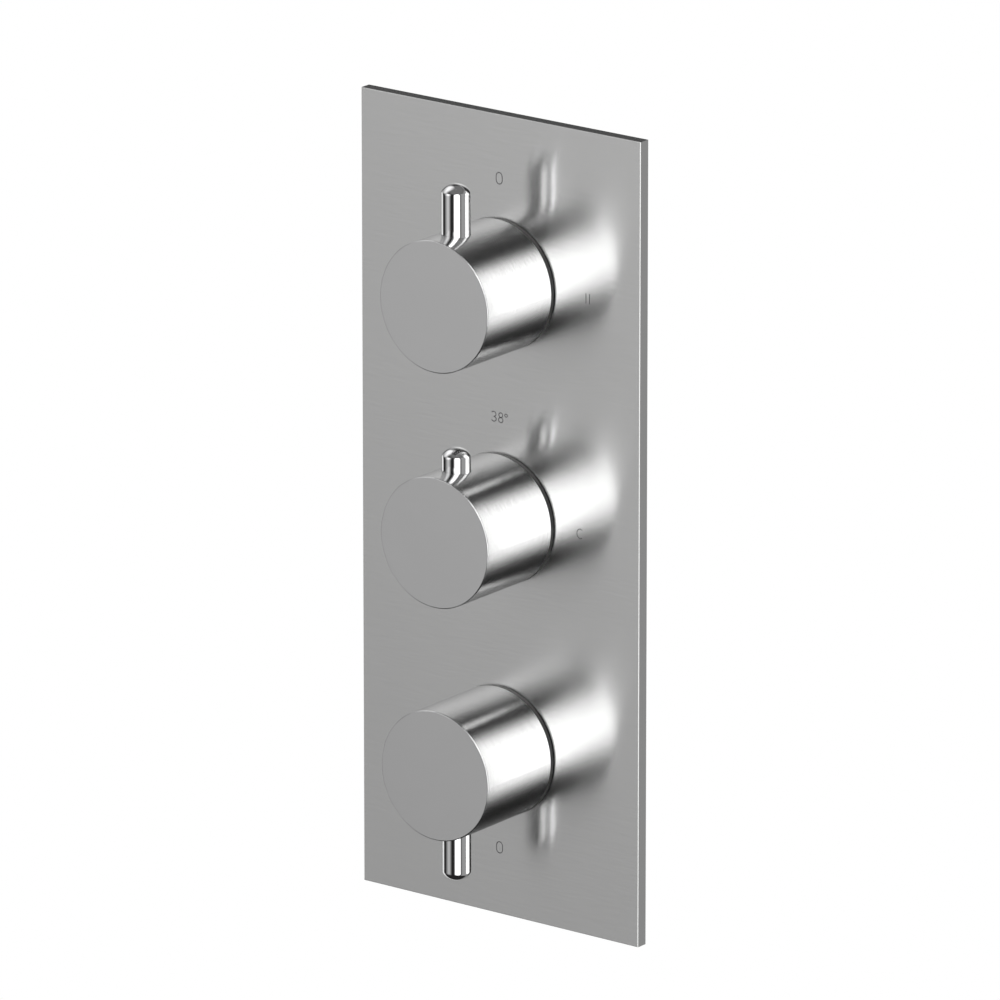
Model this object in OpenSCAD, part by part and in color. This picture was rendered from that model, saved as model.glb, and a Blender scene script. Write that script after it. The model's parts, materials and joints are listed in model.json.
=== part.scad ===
// Concealed thermostatic shower valve with a face plate, a temperature handle and two flow handles.
// The origin is the middle of the plate on the finished wall.
// +X is to the right and +Z up, and the wall lies behind at +Y.

/* [Face plate] */
// Width of the face plate
plate_w = 120; // [112:1:140]
// Distance from the outer handles' axes to the plate's ends
plate_end = 60; // [54:1:76]
// Thickness of the face plate
plate_t = 4.4; // [4:0.1:5]
// Bevel along the front edges of the plate
plate_bevel = 0.2; // [0.15:0.05:0.8]
// Distance from one handle to the next
handle_pitch = 84; // [82:1:90]
// Gap between the plate's hole and the clamp ring in it
plate_hole_gap = 0.4; // [0.2:0.1:0.6]
// Rim of the plate that touches the wall
plate_rim = 4; // [3:0.5:8]
// Width of the foam gasket
gasket_w = 8; // [5:0.5:12]
// Thickness of the foam gasket
gasket_t = 1.6; // [1:0.1:2]
// Gap beside the gasket in its pocket
gasket_gap = 0.3; // [0.1:0.1:0.6]

/* [Knobs] */
// Diameter of the handle knobs
knob_d = 46.6; // [45:0.1:50]
// Length of the handle knobs
knob_len = 35.8; // [35:0.1:42]
// Gap between a knob and the plate
knob_gap = 1.2; // [0.6:0.1:2]
// Rounding of a knob's rims
knob_rim = 0.35; // [0.15:0.05:0.8]
// Wall of the knob round its rear hollow, as a share of its diameter
wall_share = 0.0858; // [0.07:0.0002:0.09]
// Depth of the rear hollow
knob_hollow = 15.6; // [15:0.1:17]
// Thickness of the knob's front beyond the insert's socket
knob_front_t = 6.4; // [5:0.1:7]

/* [Lever pins] */
// Diameter of the pins
pin_d = 10.1; // [8:0.1:10.5]
// How far a long pin stands out of its knob
lever_reach = 17.6; // [12:0.1:24]
// How far the short pin stands out of its knob
button_reach = 8; // [6:0.1:10]
// Distance of the pins behind the knob's front
pin_setback = 12.5; // [11.5:0.1:13]
// Rounding between a pin's side and its domed end
pin_round = 1.5; // [1:0.1:2.4]
// Radius of a pin's domed end, as a share of the pin's radius
dome_share = 1.15; // [1.05:0.05:2]
// Depth of the pocket that takes a pin's foot
pin_seat = 1.4; // [1:0.1:2]
// Thread of a long pin
pin_thread_d = 6; // [4:0.5:8]
// Length of a long pin's thread
pin_thread_len = 8; // [5:0.5:8.5]
// Travel of the stop release button
button_travel = 2.5; // [1.5:0.1:2.6]

/* [Screws] */
// Thread of the knobs' locking screws
grub_d = 5; // [4:0.5:6]
// Length of the knobs' locking screws
grub_len = 8; // [5:0.5:10]
// Hexagon key of the locking screws
grub_key = 2.5; // [2:0.5:3]
// Thread of the inserts' screws
screw_d = 4; // [3:0.5:4]
// Head of the inserts' screws
screw_head_d = 7; // [6:0.5:7.5]
// Height of that head
screw_head_h = 3.5; // [3:0.1:4]
// Length of the inserts' screws under the head
screw_len = 14; // [12:0.5:16]
// Hexagon key of the inserts' screws
screw_key = 3; // [2.5:0.5:3]

/* [Inserts and spindles] */
// Diameter of the splined inserts, as a share of the knobs' diameter
insert_share = 0.468; // [0.46:0.001:0.475]
// Gap between an insert and the cartridge's neck behind it
insert_gap = 4; // [3.6:0.1:4.6]
// Thickness of the insert's web under the screw head
insert_web = 4; // [3:0.1:4.5]
// Diameter of the spindles
spindle_d = 10; // [9.6:0.1:10.2]
// Diameter of the spindles' spline
spline_d = 8.8; // [8.4:0.1:9]
// Height of a spline tooth
spline_tooth = 0.45; // [0.3:0.05:0.6]
// Number of spline teeth
spline_teeth = 20; // [16:1:24]
// Diameter of the grooves for the spindle seals
spindle_groove_d = 7.6; // [7:0.1:8]

/* [Valve body] */
// Depth of the body's front face behind the wall's face
body_setback = 6; // [5:0.5:8]
// Bore for the cartridges
cartridge_bore = 28; // [27.6:0.1:28.4]
// Wall of the three cartridge drums round the nuts' thread
drum_wall = 4; // [3:0.5:5]
// Wall of the drums behind the mixed water gallery
drum_floor = 2.5; // [2:0.1:4]
// Depth of the flow cartridges' seat
flow_depth = 34; // [33.5:0.1:35]
// Diameter of the back column
column_d = 31; // [29:0.5:32]
// How far the back column stands out behind the drums
column_proud = 1; // [0.5:0.1:2]
// Diameter of the mixed water gallery
gallery_d = 7; // [6:0.5:7.5]
// Distance from the flow cartridges' seat to the gallery's axis
gallery_gap = 4.5; // [4:0.1:5]
// Distance from the hot riser to the cold one
riser_pitch = 40; // [39.5:0.5:44]
// Outer diameter of the risers
riser_d = 14; // [13:0.5:16]
// Bore of the risers
riser_bore = 8; // [6:0.5:8.5]
// Distance of the risers' axes in front of the gallery's
riser_lead = 6.5; // [5.5:0.5:7]
// Outer diameter of the inlet and outlet bosses
port_d = 25; // [23.5:0.5:27]
// Core diameter of the half inch pipe threads
port_thread_d = 18.64; // [17.5:0.01:19]
// Length of the pipe threads
port_thread_len = 13; // [12:0.5:15]
// How far the inlets reach below the bottom handle's axis
inlet_reach = 56; // [54:1:60]
// Depth of the inlets' axes
inlet_y = 30; // [29:0.5:31]
// Depth of the outlets' axes
outlet_y = 25; // [24:0.5:26]
// Bore of the outlet passages
outlet_bore = 13; // [10:0.5:13.5]
// How far the top outlet reaches past the top handle's axis
top_outlet_reach = 40; // [38:1:42]
// How far the side outlet reaches from the middle
side_outlet_reach = 42; // [40:1:46]
// Distance between the fixing holes across
lug_pitch_x = 66; // [64:1:67]
// Distance between the fixing holes up and down
lug_pitch_z = 84; // [82:1:88]
// Fixing holes in the lugs
lug_hole_d = 6.5; // [5:0.5:7]
// Width of the fixing lugs
lug_w = 14; // [12:0.5:15]
// Thickness of the fixing lugs
lug_t = 6; // [5:0.5:7]
// Depth of the lugs' rear faces
lug_back = 24; // [23:0.5:25]

/* [Nuts and clamp rings] */
// Step from the cartridges' bore out to the gland nuts' thread
gland_step = 1.5; // [1:0.1:2]
// Length of that thread
gland_len = 8; // [7:0.5:9]
// Threaded collar of the gland nuts, as a share of the knobs' diameter
collar_share = 0.515; // [0.495:0.001:0.525]
// How far the collar stands in front of the body
collar_reach = 9; // [8.5:0.1:9.5]
// Wall of the clamp rings' tube
clamp_wall = 1.75; // [1.5:0.05:2]
// Gap between the clamp rings' flange and the knob's hollow round it
clamp_side_gap = 1; // [0.8:0.1:2]
// Thickness of that flange
clamp_flange_t = 1.5; // [1:0.1:2]
// Length of the clamp rings
clamp_len = 9.4; // [9:0.1:9.8]
// Thickness of the clamp rings' washers
washer_t = 0.5; // [0.3:0.1:0.8]
// Width of the slots for a pin spanner
spanner_slot = 4; // [3:0.5:5]

/* [Flow cartridges] */
// Neck of the cartridges
neck_d = 18; // [17:0.1:18.4]
// How far the neck stands in front of the body
neck_reach = 15; // [14.5:0.1:15.5]
// Chamber for the ceramic discs
disc_chamber_d = 20; // [19.5:0.1:20.5]
// Thickness of a ceramic disc
disc_t = 3.5; // [3:0.1:3.6]
// Thickness of the seal under the fixed disc
disc_seal_t = 1; // [0.8:0.1:1.2]
// Windows in the cartridges' sides
window_d = 8; // [6:0.5:8.5]

/* [Thermostat] */
// Bore of the thermostat's chamber
mixing_bore = 21; // [20.6:0.1:21.4]
// Bore for the setting nut
setting_bore = 13.2; // [13:0.1:13.4]
// Distance from the ring of hot inlet holes to the ring of cold ones
mixing_pitch = 12; // [11.5:0.1:12.2]
// Travel of the thermostat for a quarter turn of the handle
thermostat_travel = 1; // [0.5:0.1:1]
// Diameter of the wax element
wax_d = 9; // [8:0.1:9.2]
// Length of the shuttle
shuttle_len = 5; // [4:0.1:5.5]
// Diameter of the inlet holes in the thermostat
mixing_hole_d = 4; // [3:0.1:4.2]
// Wire of the return spring
return_wire = 1.1; // [0.8:0.1:1.3]

/* [Check valves] */
// Bore for the check valves
check_bore = 17; // [16:0.5:17.5]
// Length of a check valve
check_len = 16.8; // [16.4:0.1:18]
// Diameter of the poppets
poppet_d = 11; // [10:0.1:11.2]
// Travel of the poppets
poppet_travel = 3; // [2:0.1:3]
// Thickness of the inlet filters
filter_t = 1; // [0.8:0.1:1.2]
// Holes in the inlet filters
filter_hole_d = 1.8; // [1:0.1:2]

/* [Hidden] */
$fn = 96;

// One overrun for all cuts, and the clearances between pieces
over = 0.5;
running_gap = 0.1;
thread_gap = 0.05;
free_gap = 0.3;
face_gap = 0.05;

// Heights of the three handles
top_z = handle_pitch;
bottom_z = -handle_pitch;

// Height of the plate and depths of the visible pieces
plate_h = 2 * (handle_pitch + plate_end);
plate_front = -plate_t;
knob_rear = plate_front - knob_gap;
knob_front = knob_rear - knob_len;
pin_y = knob_front + pin_setback;
knob_r = knob_d / 2;
pin_r = pin_d / 2;
hollow_d = knob_d * (1 - 2 * wall_share);
hollow_front = knob_rear - knob_hollow;
insert_d = knob_d * insert_share;
socket_d = insert_d + 2 * running_gap;
socket_front = knob_front + knob_front_t;
foot_r = knob_r - pin_seat;
clamp_front = plate_front - washer_t - clamp_flange_t;
collar_d = knob_d * collar_share;
clamp_tube_d = collar_d + 2 * (thread_gap + clamp_wall);
clamp_flange_d = hollow_d - 2 * clamp_side_gap;

// Depths of the inserts and spindles
neck_front = body_setback - neck_reach;
insert_front = socket_front + free_gap;
insert_rear = neck_front - insert_gap;
head_recess_d = screw_head_d + 2 * free_gap;
head_depth = 3.1;
head_rear = insert_front + head_depth + screw_head_h;
web_rear = head_rear + insert_web;
spindle_front = web_rear + free_gap;
screw_tip = head_rear + screw_len;

// Button in the temperature knob, measured outwards from the knob's axis
collar_t = 1.6;
collar_over = 1.35;
button_collar_d = pin_d + 2 * collar_over;
shoulder_wall = 6.3;
shoulder_r = knob_r - shoulder_wall;
collar_top = shoulder_r - face_gap;
collar_foot = collar_top - collar_t;
button_wire = 0.7;
button_coil_d = 6.2;
button_guide_gap = 0.55;
button_guide_d = button_coil_d - button_wire - 2 * button_guide_gap;
button_guide_foot = collar_foot - 1.2 * collar_t;
pressed_spring_len = 4.35;
spring_pocket_r = collar_foot - button_travel - pressed_spring_len;
spring_side_gap = 0.85;
spring_pocket_d = button_coil_d + button_wire + 2 * spring_side_gap;

// Stop ring on the thermostat's neck, and the latch that its wall stops
stop_side_gap = 2.8;
stop_disc_d = hollow_d - 2 * stop_side_gap;
stop_disc_t = 2;
stop_disc_front = insert_rear + free_gap;
stop_hub_wall = 2.5;
stop_hub_d = neck_d + 2 * stop_hub_wall;
stop_hub_gap = 1.1;
stop_hub_rear = clamp_front - stop_hub_gap;
latch_w = 4;
latch_gap = 0.8;
latch_rear = stop_disc_front - latch_gap;
latch_hold = 3.5;
stop_wall_gap = 2.1;
stop_wall_bore = insert_d + 2 * stop_wall_gap;
stop_wall_front = latch_rear - latch_hold;
stop_play = 0.6;

// Depths of the body
drum_front = body_setback;
drum_edge = 1.2;
gland_d = cartridge_bore + 2 * gland_step;
drum_d = gland_d + 2 * drum_wall;
flow_seat = drum_front + flow_depth;
gallery_y = flow_seat + gallery_gap;
gallery_rear = gallery_y + gallery_d / 2;
drum_rear = gallery_rear + drum_floor;
gallery_lip = 0.6;
thermostat_floor = gallery_rear - gallery_lip;
gland_rear = drum_front + gland_len;
gland_front = drum_front - collar_reach;
inlet_foot = bottom_z - inlet_reach;
column_y = drum_rear + column_proud - column_d / 2;
column_top = top_z + drum_d / 4;
column_lift = 28;
column_bottom = inlet_foot + column_lift;
riser_x = riser_pitch / 2;
riser_y = gallery_y - riser_lead;
riser_floor = 2;
riser_top = riser_d / 2 + riser_floor;
riser_foot = column_bottom + riser_floor;
cold_hole_y = riser_y;
hot_hole_y = cold_hole_y - mixing_pitch;
cross_bore = 6.4;
hot_link_d = 7;
cross_plug_d = 9;
cross_plug_len = 4;
cross_wall = 3.5;
hot_lump_front = hot_hole_y - cross_plug_d / 2 - cross_wall;
gallery_plug_d = 10;
gallery_plug_len = 8;
plug_key = 4;
inlet_top = column_bottom + port_d / 2 - over;

// Cartridges
cartridge_d = cartridge_bore - 2 * running_gap;
fixed_disc_rear = flow_seat - disc_seal_t;
fixed_disc_front = fixed_disc_rear - disc_t;
moving_disc_rear = fixed_disc_front - face_gap;
moving_disc_front = moving_disc_rear - disc_t;
driver_t = 3.5;
driver_front = moving_disc_front - driver_t;
window_lag = 1;
window_y = outlet_y + window_lag;
disc_chamber_front = window_y - window_d / 2 - free_gap;
key_w = 3;
key_h = 1.4;
port_inner_share = 0.3;
port_outer_share = 0.8;
seal_spread = 3;
spindle_seal_setback = 4;
spindle_seal_y = neck_front + spindle_seal_setback;

// Thermostat
setting_d = setting_bore - 2 * running_gap;
spindle_bearing_len = 8;
chamber_front = neck_front + spindle_bearing_len;
spindle_shoulder_d = setting_bore - 2 * free_gap;
spindle_shoulder_t = 2;
shoulder_rear = chamber_front + spindle_shoulder_t;
setting_front = shoulder_rear + 2 * thermostat_travel;
setting_len = 13;
mixing_front_gap = 4;
mixing_front = setting_front + setting_len + mixing_front_gap;
thermostat_end_gap = 2;
thermostat_rear = thermostat_floor - thermostat_end_gap;
tail_d = 7;
tail_hold = 5;
tail_rear = setting_front + tail_hold;
overload_wire = 1;
overload_coil_d = 7.2;
overload_side_gap = 0.6;
overload_bore = overload_coil_d + overload_wire + 2 * overload_side_gap;
overload_front = tail_rear + 2 * thermostat_travel;
piston_cap_t = 1.4;
piston_cap_d = overload_coil_d + 1.2 * overload_wire;
piston_d = 3;
wax_front = hot_hole_y;
wax_rear = cold_hole_y + mixing_hole_d / 2;
shuttle_d = mixing_bore - 2 * running_gap;
shuttle_front = (hot_hole_y + cold_hole_y - shuttle_len) / 2;
shuttle_rear = shuttle_front + shuttle_len;
shuttle_wall = 1.6;
shuttle_web = 1.6;
shuttle_web_front = shuttle_front + (shuttle_len - shuttle_web) / 2;
shuttle_web_rear = shuttle_web_front + shuttle_web;
seat_cap_t = 3;
seat_cap_front = thermostat_rear - seat_cap_t;
return_coil_d = 15;
o_ring_groove = 1.7;
o_ring_space = o_ring_groove + running_gap;
o_ring_setback = 6.2;
o_ring_inset = 2.2;
o_ring_places = [
    hot_hole_y - o_ring_setback, (hot_hole_y + cold_hole_y) / 2, thermostat_rear - o_ring_inset
];
keyway_w = 3;
keyway_h = 1.1;
keyway_front = setting_front - thermostat_travel - free_gap;

// Check valves
filter_foot = inlet_foot + port_thread_len + face_gap;
check_foot = filter_foot + filter_t + face_gap;
check_rim = check_foot + check_len;
check_top = check_rim + poppet_travel + running_gap;
check_d = check_bore - 2 * running_gap;
check_inner_d = poppet_d + 2 * free_gap;
check_seat_d = 8.6;
check_seat_t = 1.8;
poppet_foot = check_foot + check_seat_t + face_gap;
poppet_t = 2;
poppet_stem_d = 3;
poppet_stem_len = check_len - check_seat_t - poppet_travel / 2;
check_bridge_t = 2;
check_bridge_w = 3.4;
check_hub_d = 6;
poppet_wire = 0.7;
poppet_coil_d = 7;

// Springs: each is one unbroken tube of six sides, with eight rings to a curl
wire_sides = 6;
curl_rings = 8;
curl_gap = 0.45;

// A round bar along the depth axis
module bar(d, y0, y1) {
    translate([0, y0, 0]) rotate([-90, 0, 0]) cylinder(d = d, h = y1 - y0);
}

// A tube along the depth axis
module pipe(d, bore, y0, y1) {
    difference() {
        bar(d, y0, y1);
        bar(bore, y0 - over, y1 + over);
    }
}

// An upright round bar
module post(d, z0, z1) {
    translate([0, 0, z0]) cylinder(d = d, h = z1 - z0);
}

// A bar that points outwards from a handle's axis, turned clockwise from the top
module spoke(d, r0, r1, y, turn) {
    translate([0, y, 0]) rotate([0, turn, 0]) post(d, r0, r1);
}

// A hexagon prism along the depth axis, measured across its flats
module hex_bar(flats, y0, y1) {
    translate([0, y0, 0]) rotate([-90, 0, 0]) cylinder(d = flats / cos(30), h = y1 - y0, $fn = 6);
}

// A ring of round section about the depth axis
module seal_ring(inner_r, section_d, y) {
    translate([0, y, 0]) rotate([-90, 0, 0])
        rotate_extrude() translate([inner_r + section_d / 2, 0]) circle(d = section_d, $fn = 24);
}

// Outline of a spline, with its teeth between two radii
function spline_points(tip_r, root_r) = [
    for (i = [0 : 2 * spline_teeth - 1])
        let (r = i % 2 == 0 ? tip_r : root_r, a = 180 * i / spline_teeth) [r * cos(a), r * sin(a)]
];

module spline_bar(tip_d, tooth, y0, y1) {
    translate([0, y0, 0]) rotate([-90, 0, 0])
        linear_extrude(y1 - y0) polygon(spline_points(tip_d / 2, tip_d / 2 - tooth));
}

// A coil spring along Z: its end curls lie closer together than those between them
function coil_height(t, curls, len, wire) =
    let (end = wire + curl_gap, mid = (len - wire - 2 * end) / (curls - 2))
    wire / 2 + (t < 1 ? t * end : t > curls - 1 ? end + (curls - 2) * mid + (t - curls + 1) * end
        : end + (t - 1) * mid);

function coil_ring(t, coil_d, wire, curls, len) = [
    for (k = [0 : wire_sides - 1])
        let (a = 360 * t, b = 360 * k / wire_sides, r = (coil_d + wire * cos(b)) / 2)
            [r * cos(a), r * sin(a), coil_height(t, curls, len, wire) + wire / 2 * sin(b)]
];

module coil(coil_d, wire, curls, len) {
    rings = curls * curl_rings;
    points = [for (i = [0 : rings]) each coil_ring(i / curl_rings, coil_d, wire, curls, len)];
    sides = [
        for (i = [0 : rings - 1], k = [0 : wire_sides - 1])
            let (a = i * wire_sides + k, b = i * wire_sides + (k + 1) % wire_sides)
                each [[a, b, b + wire_sides], [a, b + wire_sides, a + wire_sides]]
    ];
    last = rings * wire_sides;
    near_end = [for (k = [1 : wire_sides - 2]) [0, k + 1, k]];
    far_end = [for (k = [1 : wire_sides - 2]) [last, last + k, last + k + 1]];
    echo(least_gap = min([
        for (i = [0 : rings - curl_rings], a = [0 : wire_sides - 1], b = [0 : wire_sides - 1])
            norm(points[i * wire_sides + a] - points[(i + curl_rings) * wire_sides + b])
    ]));
    polyhedron(points, concat(sides, near_end, far_end));
}

// The bevelled plate with its three holes and the pocket for the gasket
module face_plate() {
    color("silver") difference() {
        translate([-plate_w / 2, plate_front, -plate_h / 2]) cube([plate_w, plate_t, plate_h]);
        for (side = [-1, 1]) {
            translate([side * plate_w / 2, plate_front, 0]) rotate([0, 0, 45])
                cube([plate_bevel * sqrt(2), plate_bevel * sqrt(2), plate_h + 2 * over], center = true);
            translate([0, plate_front, side * plate_h / 2]) rotate([45, 0, 0])
                cube([plate_w + 2 * over, plate_bevel * sqrt(2), plate_bevel * sqrt(2)], center = true);
        }
        translate([-plate_w / 2 + plate_rim, -gasket_t, -plate_h / 2 + plate_rim])
            cube([plate_w - 2 * plate_rim, gasket_t + over, plate_h - 2 * plate_rim]);
        for (z = [top_z, 0, bottom_z])
            translate([0, 0, z]) bar(clamp_tube_d + 2 * plate_hole_gap, plate_front - over, over);
    }
}

// A flat rectangular frame against the wall
module plate_gasket() {
    outer_w = plate_w - 2 * (plate_rim + gasket_gap);
    outer_h = plate_h - 2 * (plate_rim + gasket_gap);
    color("dimgray") difference() {
        translate([-outer_w / 2, -gasket_t, -outer_h / 2]) cube([outer_w, gasket_t, outer_h]);
        translate([gasket_w - outer_w / 2, -gasket_t - over, gasket_w - outer_h / 2])
            cube([outer_w - 2 * gasket_w, gasket_t + 2 * over, outer_h - 2 * gasket_w]);
    }
}

// A threaded tube with a thin flange that presses the plate to the wall
module clamp_ring() {
    difference() {
        union() {
            bar(clamp_tube_d, clamp_front, clamp_front + clamp_len);
            bar(clamp_flange_d, clamp_front, clamp_front + clamp_flange_t);
        }
        bar(collar_d + 2 * thread_gap, clamp_front - over, clamp_front + clamp_len + over);
        for (turn = [0, 90])
            translate([0, clamp_front, 0]) rotate([0, turn, 0])
                cube([clamp_flange_d + over, clamp_flange_t, spanner_slot], center = true);
    }
}

module clamp_rings() {
    color("lightgray") for (z = [top_z, 0, bottom_z]) translate([0, 0, z]) clamp_ring();
}

module clamp_washers() {
    color("black") for (z = [top_z, 0, bottom_z]) translate([0, 0, z])
        pipe(clamp_flange_d, clamp_tube_d + 2 * plate_hole_gap, plate_front - washer_t, plate_front);
}

// Half the outline of a turned bar, with both rims rounded
module rimmed_half(r, rim, len) {
    square([r - rim, len]);
    translate([0, rim]) square([r, len - 2 * rim]);
    for (end = [0, 1]) translate([r - rim, rim + end * (len - 2 * rim)]) intersection() {
        circle(r = rim);
        translate([0, (end - 1) * rim]) square(rim);
    }
}

// A turned drum, hollow at the rear, with a socket for its insert
module knob_blank() {
    difference() {
        rotate([-90, 0, 0]) translate([0, 0, knob_front])
            rotate_extrude() rimmed_half(knob_r, knob_rim, knob_len);
        bar(hollow_d, hollow_front, knob_rear + over);
        bar(socket_d, socket_front, knob_rear);
    }
}

// The long pin's knob, with its pocket, its thread and the locking screw's hole
module lever_knob(pin_turn, grub_turn) {
    difference() {
        knob_blank();
        spoke(pin_d + 2 * running_gap, foot_r, knob_r + over, pin_y, pin_turn);
        spoke(pin_thread_d + 2 * thread_gap, foot_r - pin_thread_len - free_gap, knob_r, pin_y, pin_turn);
        spoke(grub_d + 2 * thread_gap, 0, knob_r + over, pin_y, grub_turn);
    }
}

module top_knob() {
    color("silver") translate([0, 0, top_z]) lever_knob(0, 180);
}

module bottom_knob() {
    color("silver") translate([0, 0, bottom_z]) lever_knob(180, 270);
}

// The middle drum has a stepped hole for its button and a slot for the button's latch
module temperature_knob() {
    slot_front = pin_y;
    color("silver") difference() {
        knob_blank();
        spoke(pin_d + 2 * running_gap, 0, knob_r + over, pin_y, 0);
        spoke(button_collar_d + 2 * free_gap, 0, shoulder_r, pin_y, 0);
        spoke(grub_d + 2 * thread_gap, 0, knob_r + over, pin_y, 180);
        translate([-latch_w / 2 - free_gap, slot_front, 0])
            cube([latch_w + 2 * free_gap, hollow_front - slot_front + over, shoulder_r]);
    }
}

// A pin with a domed end that stands from r0 to r1. The dome and the rounding below it meet smoothly.
module pin_end(r0, r1) {
    dome_r = pin_r * dome_share;
    round_x = pin_r - pin_round;
    rise = sqrt(pow(dome_r - pin_round, 2) - pow(round_x, 2));
    dome_z = r1 - r0 - dome_r;
    side_top = dome_z + rise;
    edge = [round_x, rise] * dome_r / (dome_r - pin_round);
    translate([0, 0, r0]) rotate_extrude() union() {
        square([pin_r, side_top]);
        translate([0, dome_z]) intersection() {
            circle(r = dome_r);
            polygon([[0, 0], 2 * edge, [0, 2 * dome_r]]);
        }
        translate([round_x, side_top]) intersection() {
            circle(r = pin_round);
            polygon([[0, 0], [2 * pin_round, 0], 2 * (edge - [round_x, rise])]);
        }
    }
}

module lever_pin(turn) {
    translate([0, pin_y, 0]) rotate([0, turn, 0]) {
        pin_end(foot_r, knob_r + lever_reach);
        post(pin_thread_d, foot_r - pin_thread_len, foot_r + over);
    }
}

module top_lever_pin() {
    color("gainsboro") translate([0, 0, top_z]) lever_pin(0);
}

module bottom_lever_pin() {
    color("gainsboro") translate([0, 0, bottom_z]) lever_pin(180);
}

// The short pin, its collar, the peg in its spring and the latch towards the stop ring
module stop_release_button() {
    color("gainsboro") {
        translate([0, pin_y, 0]) {
            pin_end(collar_foot, knob_r + button_reach);
            post(button_collar_d, collar_foot, collar_top);
            post(button_guide_d, button_guide_foot, collar_top);
        }
        translate([-latch_w / 2, pin_y, collar_foot]) cube([latch_w, latch_rear - pin_y, collar_t]);
    }
}

module button_spring() {
    color("gray") translate([0, pin_y, spring_pocket_r + face_gap])
        coil(button_coil_d, button_wire, 4, collar_foot - spring_pocket_r - 2 * face_gap);
}

// A locking screw with its tip on the insert
module grub_screw(turn) {
    tip_r = insert_d / 2 + face_gap;
    difference() {
        spoke(grub_d, tip_r, tip_r + grub_len, pin_y, turn);
        translate([0, pin_y, 0]) rotate([0, turn, 0]) translate([0, 0, tip_r + grub_len / 2])
            cylinder(d = grub_key / cos(30), h = grub_len, $fn = 6);
    }
}

module top_grub_screw() {
    color("dimgray") translate([0, 0, top_z]) grub_screw(180);
}

module temperature_grub_screw() {
    color("dimgray") grub_screw(180);
}

module bottom_grub_screw() {
    color("dimgray") translate([0, 0, bottom_z]) grub_screw(270);
}

// The insert in a knob: splined at the rear, recessed for its screw at the front
module adapter() {
    difference() {
        bar(insert_d, insert_front, insert_rear);
        bar(head_recess_d, insert_front - over, head_rear);
        bar(screw_d + 2 * running_gap, head_rear - over, web_rear + over);
        spline_bar(spline_d + 2 * face_gap, spline_tooth, web_rear, insert_rear + over);
    }
}

module top_adapter() {
    color("burlywood") translate([0, 0, top_z]) adapter();
}

module temperature_adapter() {
    color("burlywood") difference() {
        adapter();
        spoke(spring_pocket_d, spring_pocket_r, insert_d, pin_y, 0);
    }
}

module bottom_adapter() {
    color("burlywood") translate([0, 0, bottom_z]) adapter();
}

module adapter_screw() {
    difference() {
        union() {
            bar(screw_head_d, head_rear - screw_head_h, head_rear);
            bar(screw_d, head_rear - over, screw_tip);
        }
        hex_bar(screw_key, head_rear - screw_head_h - over, head_rear - screw_head_h / 2);
    }
}

module top_adapter_screw() {
    color("gray") translate([0, 0, top_z]) adapter_screw();
}

module temperature_adapter_screw() {
    color("gray") adapter_screw();
}

module bottom_adapter_screw() {
    color("gray") translate([0, 0, bottom_z]) adapter_screw();
}

// A ring on the thermostat's neck whose half round wall stops the latch at both ends of the travel
module stop_ring() {
    wall_cut = latch_w / 2 + stop_play;
    color("whitesmoke") difference() {
        union() {
            bar(stop_hub_d, stop_disc_front, stop_hub_rear);
            bar(stop_disc_d, stop_disc_front, stop_disc_front + stop_disc_t);
            difference() {
                pipe(stop_disc_d, stop_wall_bore, stop_wall_front, stop_disc_front + over);
                translate([-stop_disc_d / 2 - over, stop_wall_front - over, -wall_cut])
                    cube([stop_disc_d + 2 * over, stop_disc_front - stop_wall_front + over, stop_disc_d]);
            }
        }
        bar(spindle_d + 2 * free_gap, stop_wall_front, stop_hub_rear);
        bar(neck_d + 2 * thread_gap, neck_front, stop_hub_rear + over);
    }
}

// One of the three drums that hold the cartridges
module drum() {
    edge = drum_edge;
    profile = [
        [0, drum_front], [drum_d / 2 - edge, drum_front], [drum_d / 2, drum_front + edge],
        [drum_d / 2, drum_rear - edge], [drum_d / 2 - edge, drum_rear], [0, drum_rear]
    ];
    rotate([-90, 0, 0]) rotate_extrude() polygon(profile);
}

// Outer form of the casting
module body_form() {
    for (z = [top_z, 0, bottom_z]) translate([0, 0, z]) drum();
    translate([0, column_y, 0]) post(column_d, column_bottom, column_top);
    for (side = [-1, 1]) {
        translate([side * riser_x, riser_y, 0]) post(riser_d, column_bottom, riser_top);
        translate([side * riser_x, inlet_y, 0]) post(port_d, inlet_foot, inlet_top);
    }
    translate([-riser_x, 0, 0]) bar(riser_d, hot_lump_front, riser_y);
    translate([0, outlet_y, 0]) post(port_d, top_z + cartridge_bore / 2, top_z + top_outlet_reach);
    translate([0, outlet_y, bottom_z]) rotate([0, -90, 0]) cylinder(d = port_d, h = side_outlet_reach);
    for (z = [-lug_pitch_z / 2, lug_pitch_z / 2]) translate([0, 0, z]) {
        translate([-lug_pitch_x / 2, lug_back - lug_t, -lug_w / 2]) cube([lug_pitch_x, lug_t, lug_w]);
        for (side = [-1, 1])
            translate([side * lug_pitch_x / 2, 0, 0]) bar(lug_w, lug_back - lug_t, lug_back);
        translate([-lug_w / 2, lug_back - lug_t, -lug_w / 2])
            cube([lug_w, column_y - lug_back + lug_t, lug_w]);
    }
}

// Bores for the cartridges and their nuts
module cartridge_bores() {
    for (z = [top_z, 0, bottom_z]) translate([0, 0, z]) bar(gland_d, drum_front - over, gland_rear);
    for (z = [top_z, bottom_z]) translate([0, 0, z]) {
        bar(cartridge_bore, drum_front, flow_seat);
        bar(disc_chamber_d * port_outer_share, flow_seat - over, gallery_y);
    }
    bar(cartridge_bore, drum_front, thermostat_floor);
}

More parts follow.
